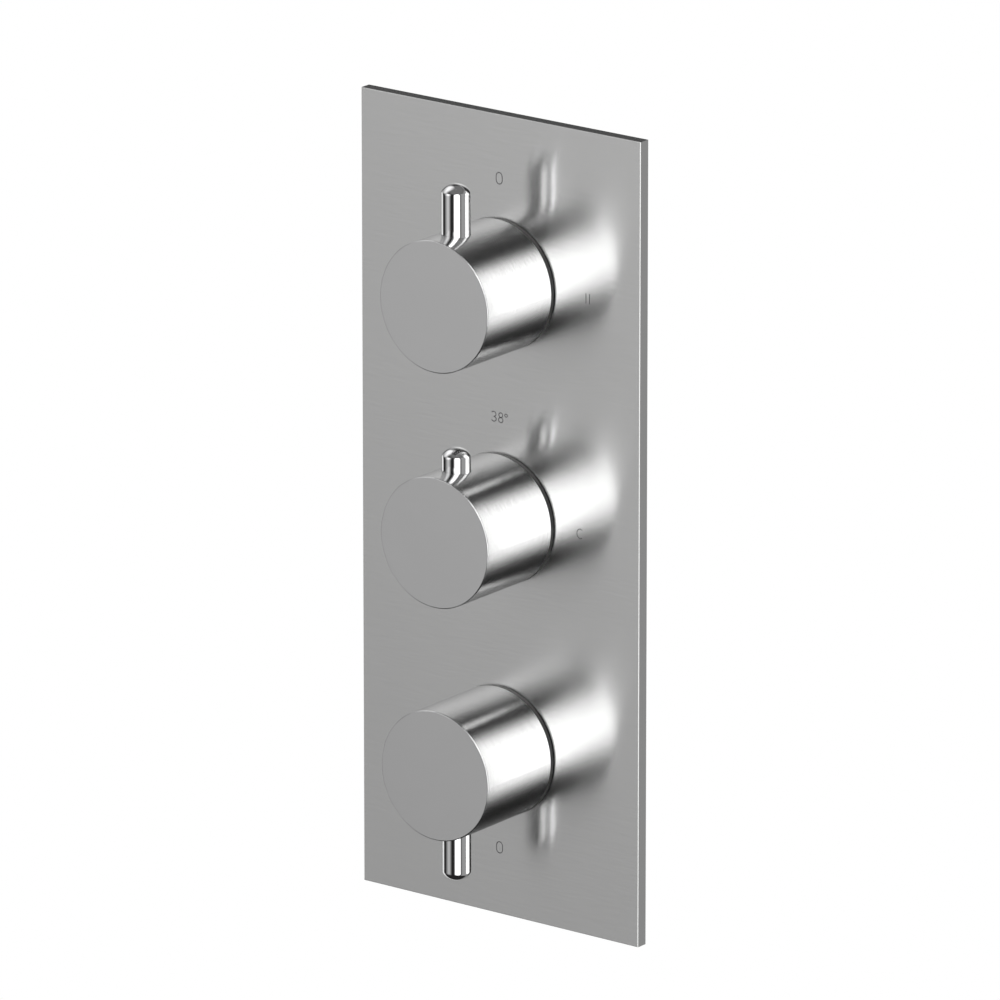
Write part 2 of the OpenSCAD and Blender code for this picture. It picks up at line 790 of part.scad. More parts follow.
// Drilled waterways
module waterways() {
    translate([0, gallery_y, 0]) {
        post(gallery_d, column_bottom - over, top_z + gallery_d);
        post(gallery_plug_d, column_bottom - over, column_bottom + gallery_plug_len);
    }
    for (side = [-1, 1]) {
        translate([side * riser_x, riser_y, 0]) post(riser_bore, riser_foot, riser_bore / 2);
        translate([side * riser_x, inlet_y, 0]) {
            post(port_thread_d, inlet_foot - over, inlet_foot + port_thread_len);
            post(check_bore, inlet_foot, check_top);
        }
    }
    translate([-riser_x, 0, 0]) bar(hot_link_d, hot_hole_y, riser_y);
    translate([0, hot_hole_y, 0]) rotate([0, -90, 0]) {
        cylinder(d = cross_bore, h = riser_x + riser_d);
        translate([0, 0, riser_x + riser_d / 2 - cross_plug_len]) cylinder(d = cross_plug_d, h = riser_d);
    }
    translate([0, cold_hole_y, 0]) rotate([0, 90, 0]) {
        cylinder(d = cross_bore, h = riser_x + riser_d);
        translate([0, 0, riser_x + riser_d / 2 - cross_plug_len]) cylinder(d = cross_plug_d, h = riser_d);
    }
    translate([0, outlet_y, 0]) {
        post(outlet_bore, top_z, top_z + top_outlet_reach);
        post(port_thread_d, top_z + top_outlet_reach - port_thread_len, top_z + top_outlet_reach + over);
    }
    translate([0, outlet_y, bottom_z]) rotate([0, -90, 0]) {
        cylinder(d = outlet_bore, h = side_outlet_reach);
        translate([0, 0, side_outlet_reach - port_thread_len])
            cylinder(d = port_thread_d, h = port_thread_len + over);
    }
}

module valve_body() {
    color("goldenrod") difference() {
        body_form();
        cartridge_bores();
        waterways();
        for (x = [-lug_pitch_x / 2, lug_pitch_x / 2], z = [-lug_pitch_z / 2, lug_pitch_z / 2])
            translate([x, 0, z]) bar(lug_hole_d, lug_back - lug_t - over, lug_back + over);
    }
}

// A nut that screws into the body; its collar carries the clamp ring
module gland_nut() {
    difference() {
        union() {
            bar(gland_d - 2 * thread_gap, drum_front, gland_rear);
            bar(collar_d, gland_front, drum_front + over);
        }
        bar(neck_d + 2 * running_gap, gland_front - over, gland_rear + over);
        translate([0, gland_front, 0]) cube([collar_d + over, spanner_slot, spanner_slot], center = true);
    }
}

module gland_nuts() {
    color("darkgoldenrod") for (z = [top_z, 0, bottom_z]) translate([0, 0, z]) gland_nut();
}

// Plugs that close the drilled waterways
module plug(d, len) {
    difference() {
        cylinder(d = d - 2 * thread_gap, h = len);
        translate([0, 0, -over]) cylinder(d = plug_key / cos(30), h = len / 2 + over, $fn = 6);
    }
}

module gallery_plugs() {
    color("darkgoldenrod") {
        translate([0, gallery_y, column_bottom]) plug(gallery_plug_d, gallery_plug_len - face_gap);
        translate([-riser_x - riser_d / 2, hot_hole_y, 0]) rotate([0, 90, 0])
            plug(cross_plug_d, cross_plug_len - face_gap);
        translate([riser_x + riser_d / 2, cold_hole_y, 0]) rotate([0, -90, 0])
            plug(cross_plug_d, cross_plug_len - face_gap);
    }
}

// Body of a flow cartridge, with windows that let the water out sideways
module flow_housing() {
    difference() {
        union() {
            bar(cartridge_d, gland_rear + face_gap, fixed_disc_rear);
            bar(neck_d, neck_front, gland_rear + 2 * face_gap);
        }
        bar(spindle_d + 2 * running_gap, neck_front - over, disc_chamber_front + over);
        bar(disc_chamber_d, disc_chamber_front, fixed_disc_rear + over);
        for (turn = [0, 90]) spoke(window_d, -cartridge_d, cartridge_d, window_y, turn);
    }
}

module flow_cartridge_housings() {
    color("khaki") for (z = [top_z, bottom_z]) translate([0, 0, z]) flow_housing();
}

// Two facing sectors, through which the water passes when the discs line up
module sector_pair(y0, y1, turn) {
    inner_r = disc_chamber_d / 2 * port_inner_share;
    outer_r = disc_chamber_d / 2 * port_outer_share;
    translate([0, y0, 0]) rotate([-90, 0, 0]) linear_extrude(y1 - y0) rotate(turn) difference() {
        intersection() {
            circle(r = outer_r);
            for (side = [-1, 1]) polygon([[0, 0], [side * outer_r, outer_r], [side * outer_r, -outer_r]]);
        }
        circle(r = inner_r);
    }
}

module fixed_discs() {
    color("white") for (z = [top_z, bottom_z]) translate([0, 0, z]) difference() {
        bar(disc_chamber_d - 2 * face_gap, fixed_disc_front, fixed_disc_rear);
        sector_pair(fixed_disc_front - over, fixed_disc_rear + over, 0);
    }
}

module disc_seals() {
    color("black") for (z = [top_z, bottom_z]) translate([0, 0, z])
        pipe(cartridge_d, disc_chamber_d * port_outer_share, fixed_disc_rear, flow_seat);
}

module moving_disc() {
    difference() {
        bar(disc_chamber_d - 2 * free_gap, moving_disc_front, moving_disc_rear);
        sector_pair(moving_disc_front - over, moving_disc_rear + over, 90);
        translate([0, moving_disc_front, 0])
            cube([disc_chamber_d, 2 * key_h + 2 * face_gap, key_w + 2 * face_gap], center = true);
    }
}

module top_moving_disc() {
    color("white") translate([0, 0, top_z]) moving_disc();
}

module bottom_moving_disc() {
    color("white") translate([0, 0, bottom_z]) moving_disc();
}

// Splined front of a spindle, with the thread for the insert's screw
module spindle_shaft(rear) {
    difference() {
        union() {
            spline_bar(spline_d, spline_tooth, spindle_front, insert_rear + free_gap);
            bar(spindle_d, insert_rear, rear);
        }
        bar(screw_d + 2 * thread_gap, spindle_front - over, screw_tip + free_gap);
        for (side = [-1, 1]) pipe(spindle_d + over, spindle_groove_d,
            spindle_seal_y + side * seal_spread / 2 - (spindle_d - spindle_groove_d) / 4 - face_gap,
            spindle_seal_y + side * seal_spread / 2 + (spindle_d - spindle_groove_d) / 4 + face_gap);
    }
}

module spindle_seal_pair() {
    section = (spindle_d - spindle_groove_d) / 2;
    for (side = [-1, 1])
        seal_ring(spindle_groove_d / 2, section, spindle_seal_y + side * seal_spread / 2);
}

module flow_spindle() {
    spindle_shaft(driver_front + over);
    difference() {
        bar(disc_chamber_d - 2 * free_gap, driver_front, moving_disc_front);
        sector_pair(driver_front - over, moving_disc_front + over, 90);
    }
    translate([0, moving_disc_front, 0])
        cube([disc_chamber_d - 4 * free_gap, 2 * key_h, key_w], center = true);
}

module top_spindle() {
    color("peru") translate([0, 0, top_z]) flow_spindle();
}

module bottom_spindle() {
    color("peru") translate([0, 0, bottom_z]) flow_spindle();
}

module top_spindle_seals() {
    color("black") translate([0, 0, top_z]) spindle_seal_pair();
}

module bottom_spindle_seals() {
    color("black") translate([0, 0, bottom_z]) spindle_seal_pair();
}

// Body of the thermostat, with its rings of inlet holes and its outer grooves
module thermostat_housing() {
    color("khaki") difference() {
        union() {
            bar(cartridge_d, gland_rear + face_gap, thermostat_rear);
            bar(neck_d, neck_front, gland_rear + 2 * face_gap);
        }
        bar(spindle_d + 2 * running_gap, neck_front - over, chamber_front + over);
        bar(setting_bore, chamber_front, mixing_front + over);
        bar(mixing_bore, mixing_front, thermostat_rear + over);
        translate([-keyway_w / 2, keyway_front, 0])
            cube([keyway_w, mixing_front - keyway_front + over, setting_bore / 2 + keyway_h]);
        for (y = [hot_hole_y, cold_hole_y], turn = [0 : 45 : 135])
            spoke(mixing_hole_d, -cartridge_d, cartridge_d, y, turn);
        for (y = o_ring_places)
            pipe(cartridge_d + over, cartridge_d - 2 * o_ring_groove,
                y - o_ring_space / 2 - face_gap, y + o_ring_space / 2 + face_gap);
    }
}

module thermostat_o_rings() {
    color("black") for (y = o_ring_places)
        seal_ring(cartridge_d / 2 - o_ring_groove, o_ring_space, y);
}

// The cap that the return spring pushes on, open for the mixed water
module return_spring_seat() {
    hole_d = (mixing_bore - wax_d) / 4;
    color("khaki") difference() {
        bar(mixing_bore - 2 * thread_gap, seat_cap_front, thermostat_rear);
        bar(wax_d + 2 * free_gap, seat_cap_front - over, thermostat_rear + over);
        for (turn = [0 : 60 : 300])
            rotate([0, turn, 0]) translate([0, 0, (mixing_bore + wax_d) / 4])
                bar(hole_d, seat_cap_front - over, thermostat_rear + over);
    }
}

module return_spring() {
    color("gray") translate([0, shuttle_web_rear + face_gap, 0]) rotate([-90, 0, 0])
        coil(return_coil_d, return_wire, 4, seat_cap_front - shuttle_web_rear - 2 * face_gap);
}

// The temperature spindle: its tail drives the setting nut by a thread
module temperature_spindle() {
    color("peru") {
        spindle_shaft(chamber_front + over);
        bar(spindle_shoulder_d, chamber_front + free_gap, shoulder_rear);
        bar(tail_d, shoulder_rear - over, tail_rear);
    }
}

module temperature_spindle_seals() {
    color("black") spindle_seal_pair();
}

// The nut that a key holds from turning, so that the thread pushes it in and out
module setting_nut() {
    nut_rear = setting_front + setting_len;
    color("khaki") {
        difference() {
            bar(setting_d, setting_front, nut_rear);
            bar(tail_d + 2 * running_gap, setting_front - over, overload_front + over);
            bar(overload_bore, overload_front, nut_rear + over);
        }
        translate([running_gap - keyway_w / 2, setting_front, setting_d / 2 - keyway_h])
            cube([keyway_w - 2 * running_gap, setting_len, 2 * keyway_h - running_gap]);
    }
}

module overload_spring() {
    len = setting_front + setting_len - overload_front - 2 * face_gap;
    color("gray") translate([0, overload_front + face_gap, 0]) rotate([-90, 0, 0])
        coil(overload_coil_d, overload_wire, 3, len);
}

// The wax element: a cap on its piston meets the overload spring
module wax_element() {
    cap_front = setting_front + setting_len;
    color("chocolate") {
        bar(piston_cap_d, cap_front, cap_front + piston_cap_t);
        bar(piston_d, cap_front, wax_front + over);
        bar(wax_d, wax_front, wax_rear);
    }
}

// The sleeve that opens one inlet as it closes the other
module shuttle() {
    hole_d = (shuttle_d - wax_d) / 4;
    color("lightslategray") {
        pipe(shuttle_d, shuttle_d - 2 * shuttle_wall, shuttle_front, shuttle_rear);
        difference() {
            bar(shuttle_d - shuttle_wall, shuttle_web_front, shuttle_web_rear);
            bar(wax_d + 2 * face_gap, shuttle_web_front - over, shuttle_web_rear + over);
            for (turn = [0 : 60 : 300])
                rotate([0, turn, 0]) translate([0, 0, (shuttle_d + wax_d) / 4 - shuttle_wall / 2])
                    bar(hole_d, shuttle_web_front - over, shuttle_web_rear + over);
        }
    }
}

// Both inlets, the hot one on the left
module at_inlets() {
    for (side = [-1, 1]) translate([side * riser_x, inlet_y, 0]) children();
}

module inlet_filters() {
    color("lightgray") at_inlets() difference() {
        post(check_d, filter_foot, filter_foot + filter_t);
        post(filter_hole_d, filter_foot - over, filter_foot + filter_t + over);
        for (ring = [1, 2], i = [0 : 6 * ring - 1])
            rotate(60 * i / ring) translate([ring * check_d / 6, 0, 0])
                post(filter_hole_d, filter_foot - over, filter_foot + filter_t + over);
    }
}

// A tube with a seat at its foot and a bridge that guides the poppet's stem
module check_valve_housings() {
    bridge_foot = check_rim - check_bridge_t;
    color("whitesmoke") at_inlets() {
        difference() {
            post(check_d, check_foot, check_rim);
            post(check_seat_d, check_foot - over, check_rim);
            post(check_inner_d, check_foot + check_seat_t, check_rim + over);
        }
        difference() {
            union() {
                post(check_hub_d, bridge_foot, check_rim);
                for (turn = [0, 90]) rotate(turn)
                    translate([-check_inner_d / 2 - over, -check_bridge_w / 2, bridge_foot])
                        cube([check_inner_d + 2 * over, check_bridge_w, check_bridge_t]);
            }
            post(poppet_stem_d + 2 * running_gap, bridge_foot - over, check_rim + over);
        }
    }
}

module poppet() {
    post(poppet_d, poppet_foot, poppet_foot + poppet_t);
    post(poppet_stem_d, poppet_foot, poppet_foot + poppet_stem_len);
}

module hot_poppet() {
    color("tomato") translate([-riser_x, inlet_y, 0]) poppet();
}

module cold_poppet() {
    color("steelblue") translate([riser_x, inlet_y, 0]) poppet();
}

module poppet_spring() {
    foot = poppet_foot + poppet_t + face_gap;
    len = check_rim - check_bridge_t - foot - face_gap;
    translate([0, 0, foot]) coil(poppet_coil_d, poppet_wire, 5, len);
}

module hot_poppet_spring() {
    color("gray") translate([-riser_x, inlet_y, 0]) poppet_spring();
}

module cold_poppet_spring() {
    color("gray") translate([riser_x, inlet_y, 0]) poppet_spring();
}

face_plate();
plate_gasket();
clamp_rings();
clamp_washers();
top_knob();
temperature_knob();
bottom_knob();
top_lever_pin();
bottom_lever_pin();
stop_release_button();
button_spring();
top_grub_screw();
temperature_grub_screw();
bottom_grub_screw();
top_adapter();
temperature_adapter();
bottom_adapter();
top_adapter_screw();
temperature_adapter_screw();
bottom_adapter_screw();
stop_ring();
valve_body();
gland_nuts();
gallery_plugs();
flow_cartridge_housings();
fixed_discs();
disc_seals();
top_spindle();
bottom_spindle();
top_moving_disc();
bottom_moving_disc();
top_spindle_seals();
bottom_spindle_seals();
thermostat_housing();
thermostat_o_rings();
return_spring_seat();
return_spring();
temperature_spindle();
temperature_spindle_seals();
setting_nut();
overload_spring();
wax_element();
shuttle();
inlet_filters();
check_valve_housings();
hot_poppet();
cold_poppet();
hot_poppet_spring();
cold_poppet_spring();
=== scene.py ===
import json
import math

import bmesh
import bpy
from mathutils import Matrix, Vector


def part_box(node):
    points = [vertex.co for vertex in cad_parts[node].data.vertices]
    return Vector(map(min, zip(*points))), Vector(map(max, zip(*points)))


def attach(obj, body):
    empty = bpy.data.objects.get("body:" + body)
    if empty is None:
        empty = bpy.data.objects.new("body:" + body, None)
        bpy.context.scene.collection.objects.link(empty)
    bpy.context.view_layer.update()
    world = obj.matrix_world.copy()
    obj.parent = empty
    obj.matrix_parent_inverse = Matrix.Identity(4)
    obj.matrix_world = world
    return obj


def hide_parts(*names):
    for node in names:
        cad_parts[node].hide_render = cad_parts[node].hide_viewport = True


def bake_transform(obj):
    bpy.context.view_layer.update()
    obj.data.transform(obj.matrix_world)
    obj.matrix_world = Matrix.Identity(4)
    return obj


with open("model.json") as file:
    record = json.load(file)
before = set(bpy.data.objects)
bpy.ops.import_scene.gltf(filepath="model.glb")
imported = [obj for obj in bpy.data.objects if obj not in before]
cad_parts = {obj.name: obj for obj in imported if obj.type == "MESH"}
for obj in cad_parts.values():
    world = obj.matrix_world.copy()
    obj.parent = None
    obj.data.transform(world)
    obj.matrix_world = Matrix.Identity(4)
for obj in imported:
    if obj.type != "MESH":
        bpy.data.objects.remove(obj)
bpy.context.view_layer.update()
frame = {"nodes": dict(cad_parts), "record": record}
nodes = frame["nodes"]
slotOf = {part["node"]: part["material_slot"] for part in frame["record"]["subparts"]}
mm = 0.001
mergeDistance = 0.0001 * mm
scene = bpy.context.scene
scene.view_settings.view_transform = "Standard"

floatSocket, vectorSocket, colorSocket = "NodeSocketFloat", "NodeSocketVector", "NodeSocketColor"

# Small helpers


def addObject(name, data):
    thing = bpy.data.objects.new(name, data)
    scene.collection.objects.link(thing)
    return thing


def meshFrom(name, bm):
    mesh = bpy.data.meshes.new(name)
    bm.to_mesh(mesh)
    bm.free()
    return mesh


def addNode(tree, kind, inputs=None, **settings):
    node = tree.nodes.new(kind)
    for key, value in settings.items():
        setattr(node, key, value)
    for key, value in (inputs or {}).items():
        if isinstance(value, bpy.types.NodeSocket):
            tree.links.new(value, node.inputs[key])
        else:
            node.inputs[key].default_value = value
    return node


def doMath(tree, operation, *values):
    return addNode(tree, "ShaderNodeMath", dict(enumerate(values)), operation=operation).outputs[0]


def doVector(tree, operation, *values):
    return addNode(tree, "ShaderNodeVectorMath", dict(enumerate(values)), operation=operation).outputs[0]


def lengthOf(tree, vector):
    return addNode(tree, "ShaderNodeVectorMath", {0: vector}, operation="LENGTH").outputs["Value"]


# One operation over a whole list of values.
def combine(tree, operation, values):
    total = values[0]
    for value in values[1:]:
        total = doMath(tree, operation, total, value)
    return total


def remap(tree, value, low, high, newLow, newHigh, smooth=False):
    kind = "SMOOTHSTEP" if smooth else "LINEAR"
    inputs = {0: value, 1: low, 2: high, 3: newLow, 4: newHigh}
    return addNode(tree, "ShaderNodeMapRange", inputs, interpolation_type=kind).outputs[0]


# The first value where the mask is 0, the second where it is 1.
def choose(tree, mask, first, second):
    return remap(tree, mask, 0.0, 1.0, first, second)


# The same for vectors and colours.
def chooseVector(tree, mask, first, second):
    node = addNode(tree, "ShaderNodeMix", {0: mask}, data_type="VECTOR")
    for socket, value in ((node.inputs[4], first), (node.inputs[5], second)):  # its two vector sockets
        if isinstance(value, bpy.types.NodeSocket):
            tree.links.new(value, socket)
        else:
            socket.default_value = value
    return node.outputs[1]


def blank(name):
    material = bpy.data.materials.new(name)
    material.use_nodes = True
    material.node_tree.nodes.clear()
    return material, material.node_tree


def shaderGroup(name, inputs, outputs):
    group = bpy.data.node_groups.new(name, "ShaderNodeTree")
    for label, kind, default in inputs:
        socket = group.interface.new_socket(label, in_out="INPUT", socket_type=kind)
        if default is not None:
            socket.default_value = default
    for label, kind in outputs:
        group.interface.new_socket(label, in_out="OUTPUT", socket_type=kind)
    start = group.nodes.new("NodeGroupInput")
    end = group.nodes.new("NodeGroupOutput")
    return group, start.outputs, end.inputs


def placeGroup(tree, group, inputs):
    return addNode(tree, "ShaderNodeGroup", inputs, node_tree=group).outputs


# Camera

cameraSet = {"azimuth": 37.379, "elevation": 16.882, "roll": 0.014, "distance": 4.12675,
             "lens": 431.03, "sensor": 36, "clipEnd": 50, "aim": (0.000116, -0.0044, 0.006505)}


# Azimuth counts from the front, -Y, towards +X.
def direction(azimuth, elevation):
    a, e = math.radians(azimuth), math.radians(elevation)
    return Vector((math.sin(a) * math.cos(e), -math.cos(a) * math.cos(e), math.sin(e)))


def addCamera(spec):
    back = direction(spec["azimuth"], spec["elevation"])
    a = math.radians(spec["azimuth"])
    right = Vector((math.cos(a), math.sin(a), 0))
    up = back.cross(right)
    turn = Matrix((right, up, back)).transposed()
    data = bpy.data.cameras.new("studioCamera")
    data.lens = spec["lens"]
    data.sensor_width = spec["sensor"]
    data.clip_end = spec["clipEnd"]
    camera = addObject("studioCamera", data)
    camera.matrix_world = (Matrix.Translation(Vector(spec["aim"]) + back * spec["distance"])
                           @ turn.to_4x4() @ Matrix.Rotation(math.radians(-spec["roll"]), 4, "Z"))
    scene.camera = camera


addCamera(cameraSet)
print("camera placed")

# Studio: soft cards on spheres round the object, world, lamp and floor

cardStep = 6  # degrees across a face of a card
fewestFaces = 4  # along each side of a card
leastEdge = 0.0001  # stands for no soft edge
brightLevel = 1  # cards from this level up are sampled as lights
cardSet = {
    # azimuth and elevation ranges in degrees, level, and the soft degrees at left, right, foot and top
    "roomShell": {"azimuth": (-180, 180), "elevation": (-89, 89), "level": 0.022, "distance": 14,
                  "soft": (0, 0, 0, 0)},
    "rearLeftWall": {"azimuth": (-165, -80), "elevation": (-43, 16), "level": 1.05, "distance": 13,
                     "soft": (20, 9, 7, 20)},
    "rearRightWall": {"azimuth": (70, 165), "elevation": (-60, 60), "level": 0.4, "distance": 13,
                      "soft": (14, 20, 15, 20)},
    "rearWall": {"azimuth": (150, 215), "elevation": (-60, 60), "level": 0.4, "distance": 12.6,
                 "soft": (20, 20, 20, 20)},
    "ceiling": {"azimuth": (-180, 180), "elevation": (40, 89), "level": 0.2, "distance": 12,
                "soft": (0, 0, 20, 0)},
    "upperLeftGlow": {"azimuth": (-132, -42), "elevation": (0, 84), "level": 1.35, "distance": 11,
                      "soft": (24, 38, 44, 34)},
    "fillBox": {"azimuth": (-66, 0), "elevation": (-50, 41), "level": 1.72, "distance": 10.5,
                "soft": (40, 27, 78, 12)},
    "keyBox": {"azimuth": (14, 74), "elevation": (-43, 50), "level": 4.3, "distance": 10,
               "soft": (30, 22, 30, 14)},
}


# A mask on the unit square that fades over a given width at each side.
def softEdgeGroup():
    sides = [(side, floatSocket, 0.2) for side in ("Left", "Right", "Foot", "Top")]
    group, given, result = shaderGroup("softEdge", [("Vector", vectorSocket, None)] + sides,
                                       [("Mask", floatSocket)])
    across, up, _ = addNode(group, "ShaderNodeSeparateXYZ", {0: given["Vector"]}).outputs
    edges = []
    for near, low, high in ((across, "Left", "Right"), (up, "Foot", "Top")):
        far = doMath(group, "SUBTRACT", 1.0, near)
        for value, side in ((near, low), (far, high)):
            width = doMath(group, "MAXIMUM", given[side], leastEdge)
            edges.append(remap(group, value, 0.0, width, 0.0, 1.0, smooth=True))
    group.links.new(combine(group, "MULTIPLY", edges), result["Mask"])
    return group


def addCard(name, spec, edgeGroup):
    low, high = spec["azimuth"]
    foot, top = spec["elevation"]
    columns = max(fewestFaces, round((high - low) / cardStep))
    rows = max(fewestFaces, round((top - foot) / cardStep))
    bm = bmesh.new()
    uv = bm.loops.layers.uv.new("UVMap")
    grid = [[bm.verts.new(direction(low + (high - low) * i / columns, foot + (top - foot) * j / rows)
                          * spec["distance"]) for i in range(columns + 1)] for j in range(rows + 1)]
    for j in range(rows):
        for i in range(columns):
            corners = ((i, j), (i, j + 1), (i + 1, j + 1), (i + 1, j))
            face = bm.faces.new([grid[v][u] for u, v in corners])
            for loop, (u, v) in zip(face.loops, corners):
                loop[uv].uv = (u / columns, v / rows)
    mesh = meshFrom(name, bm)
    card = addObject(name, mesh)
    material, tree = blank(name)
    where = addNode(tree, "ShaderNodeUVMap", uv_map="UVMap").outputs[0]
    left, right, below, above = spec["soft"]
    mask = placeGroup(tree, edgeGroup, {"Vector": where, "Left": left / (high - low),
                                        "Right": right / (high - low), "Foot": below / (top - foot),
                                        "Top": above / (top - foot)})["Mask"]
    clear = addNode(tree, "ShaderNodeBsdfTransparent")
    glow = addNode(tree, "ShaderNodeEmission", {"Strength": spec["level"]})
    mixed = addNode(tree, "ShaderNodeMixShader", {0: mask, 1: clear.outputs[0], 2: glow.outputs[0]})
    addNode(tree, "ShaderNodeOutputMaterial", {0: mixed.outputs[0]})
    material.cycles.emission_sampling = "NONE" if spec["level"] < brightLevel else "FRONT_BACK"
    mesh.materials.append(material)
    card.visible_camera = False
    card.visible_diffuse = False
    card.visible_shadow = False
    card.visible_volume_scatter = False


worldSet = {"plain": 0.8}


# White to the camera and in reflections, at a plain level for the light that falls on the object.
def addWorld(spec):
    world = bpy.data.worlds.new("whiteStudio")
    scene.world = world
    world.use_nodes = True
    tree = world.node_tree
    tree.nodes.clear()
    path = addNode(tree, "ShaderNodeLightPath").outputs
    seen = combine(tree, "MAXIMUM", [path["Is Camera Ray"], path["Is Glossy Ray"],
                                     path["Is Transmission Ray"]])
    sky = addNode(tree, "ShaderNodeBackground", {"Color": (1, 1, 1, 1),
                                                 "Strength": choose(tree, seen, spec["plain"], 1.0)})
    addNode(tree, "ShaderNodeOutputWorld", {0: sky.outputs[0]})


lampSet = {"place": (1.4, -1.8, 1.6), "size": 1.2, "watts": 14}


def addLamp(spec):
    data = bpy.data.lights.new("softLamp", "AREA")
    data.shape = "SQUARE"
    data.size = spec["size"]
    data.energy = spec["watts"]
    lamp = addObject("softLamp", data)
    lamp.location = spec["place"]
    lamp.rotation_euler = (-Vector(spec["place"])).to_track_quat("-Z", "Y").to_euler()
    lamp.visible_glossy = False
    lamp.visible_camera = False


# plain inside one distance from the middle, melted into the backdrop at the other
floorSet = {"height": -1.0, "half": 2.3, "plain": 0.7, "faded": 2.2, "color": (0.9, 0.9, 0.9, 1)}


def addFloor(spec):
    bm = bmesh.new()
    half, z = spec["half"], spec["height"]
    corners = ((-1, -1), (1, -1), (1, 1), (-1, 1))
    bm.faces.new([bm.verts.new((x * half, y * half, z)) for x, y in corners])
    mesh = meshFrom("studioFloor", bm)
    floor = addObject("studioFloor", mesh)
    material, tree = blank("floorPaper")
    where = addNode(tree, "ShaderNodeTexCoord").outputs["Object"]
    away = lengthOf(tree, doVector(tree, "MULTIPLY", where, (1, 1, 0)))
    fade = remap(tree, away, spec["plain"], spec["faded"], 0.0, 1.0, smooth=True)
    paper = addNode(tree, "ShaderNodeBsdfDiffuse", {"Color": spec["color"]})
    clear = addNode(tree, "ShaderNodeBsdfTransparent")
    mixed = addNode(tree, "ShaderNodeMixShader", {0: fade, 1: paper.outputs[0], 2: clear.outputs[0]})
    addNode(tree, "ShaderNodeOutputMaterial", {0: mixed.outputs[0]})
    mesh.materials.append(material)
    floor.visible_glossy = False


addWorld(worldSet)
softEdge = softEdgeGroup()
for cardName, cardSpec in cardSet.items():
    addCard(cardName, cardSpec, softEdge)
addLamp(lampSet)
addFloor(floorSet)
print("studio built:", len(cardSet), "cards")

# Shader groups

brushSet = {"fineScale": 1.0, "fineDetail": 2.0, "fineRoughness": 0.6, "fineShare": 0.35,
            "broadScale": 0.3, "broadDetail": 1.0, "broadShare": 0.65}


# Fine lines along the axes that the vector is least stretched on.
def brushLinesGroup(spec):
    group, given, result = shaderGroup("brushLines", [("Vector", vectorSocket, None)],
                                       [("Lines", floatSocket)])
    fine = addNode(group, "ShaderNodeTexNoise", {
        "Vector": given["Vector"], "Scale": spec["fineScale"], "Detail": spec["fineDetail"],
        "Roughness": spec["fineRoughness"]}).outputs[0]
    broad = addNode(group, "ShaderNodeTexNoise", {
        "Vector": given["Vector"], "Scale": spec["broadScale"],
        "Detail": spec["broadDetail"]}).outputs[0]
    lines = doMath(group, "ADD", doMath(group, "MULTIPLY", fine, spec["fineShare"]),
                   doMath(group, "MULTIPLY", broad, spec["broadShare"]))
    group.links.new(lines, result["Lines"])
    return group


mottleSet = {"detail": 3.0, "breakup": 0.55}


# Slow changes of tone and gloss, as handling and polishing leave them.
def mottleGroup(spec):
    group, given, result = shaderGroup(
        "mottle",
        [("Vector", vectorSocket, None), ("Scale", floatSocket, 60.0),
         ("Color", colorSocket, (0.5, 0.5, 0.5, 1)), ("Shade", floatSocket, 0.06),
         ("Roughness", floatSocket, 0.3), ("Spread", floatSocket, 0.04)],
        [("Color", colorSocket), ("Roughness", floatSocket)])
    cloud = addNode(group, "ShaderNodeTexNoise", {
        "Vector": given["Vector"], "Scale": given["Scale"], "Detail": spec["detail"],
        "Roughness": spec["breakup"]}).outputs[0]
    centred = doMath(group, "SUBTRACT", cloud, 0.5)
    tone = doMath(group, "MULTIPLY_ADD", centred, given["Shade"], 1.0)
    rough = doMath(group, "MULTIPLY_ADD", centred, given["Spread"], given["Roughness"])
    group.links.new(doVector(group, "MULTIPLY", given["Color"], tone), result["Color"])
    group.links.new(rough, result["Roughness"])
    return group


castSkinSet = {"detail": 4.0, "breakup": 0.65, "grainShare": 0.7,
               "pitScale": 350.0, "pitEdge": (0.05, 0.35), "pitShare": 0.3}


# The grain that a sand mould leaves, with a few pits.
def castSkinGroup(spec):
    group, given, result = shaderGroup("castSkin", [("Vector", vectorSocket, None),
                                                    ("Scale", floatSocket, 900.0)],
                                       [("Height", floatSocket)])
    grain = addNode(group, "ShaderNodeTexNoise", {
        "Vector": given["Vector"], "Scale": given["Scale"], "Detail": spec["detail"],
        "Roughness": spec["breakup"]}).outputs[0]
    cells = addNode(group, "ShaderNodeTexVoronoi", {"Vector": given["Vector"],
                                                    "Scale": spec["pitScale"]}).outputs[0]
    pits = remap(group, cells, *spec["pitEdge"], 0.0, 1.0, smooth=True)
    height = doMath(group, "ADD", doMath(group, "MULTIPLY", grain, spec["grainShare"]),
                    doMath(group, "MULTIPLY", pits, spec["pitShare"]))
    group.links.new(height, result["Height"])
    return group


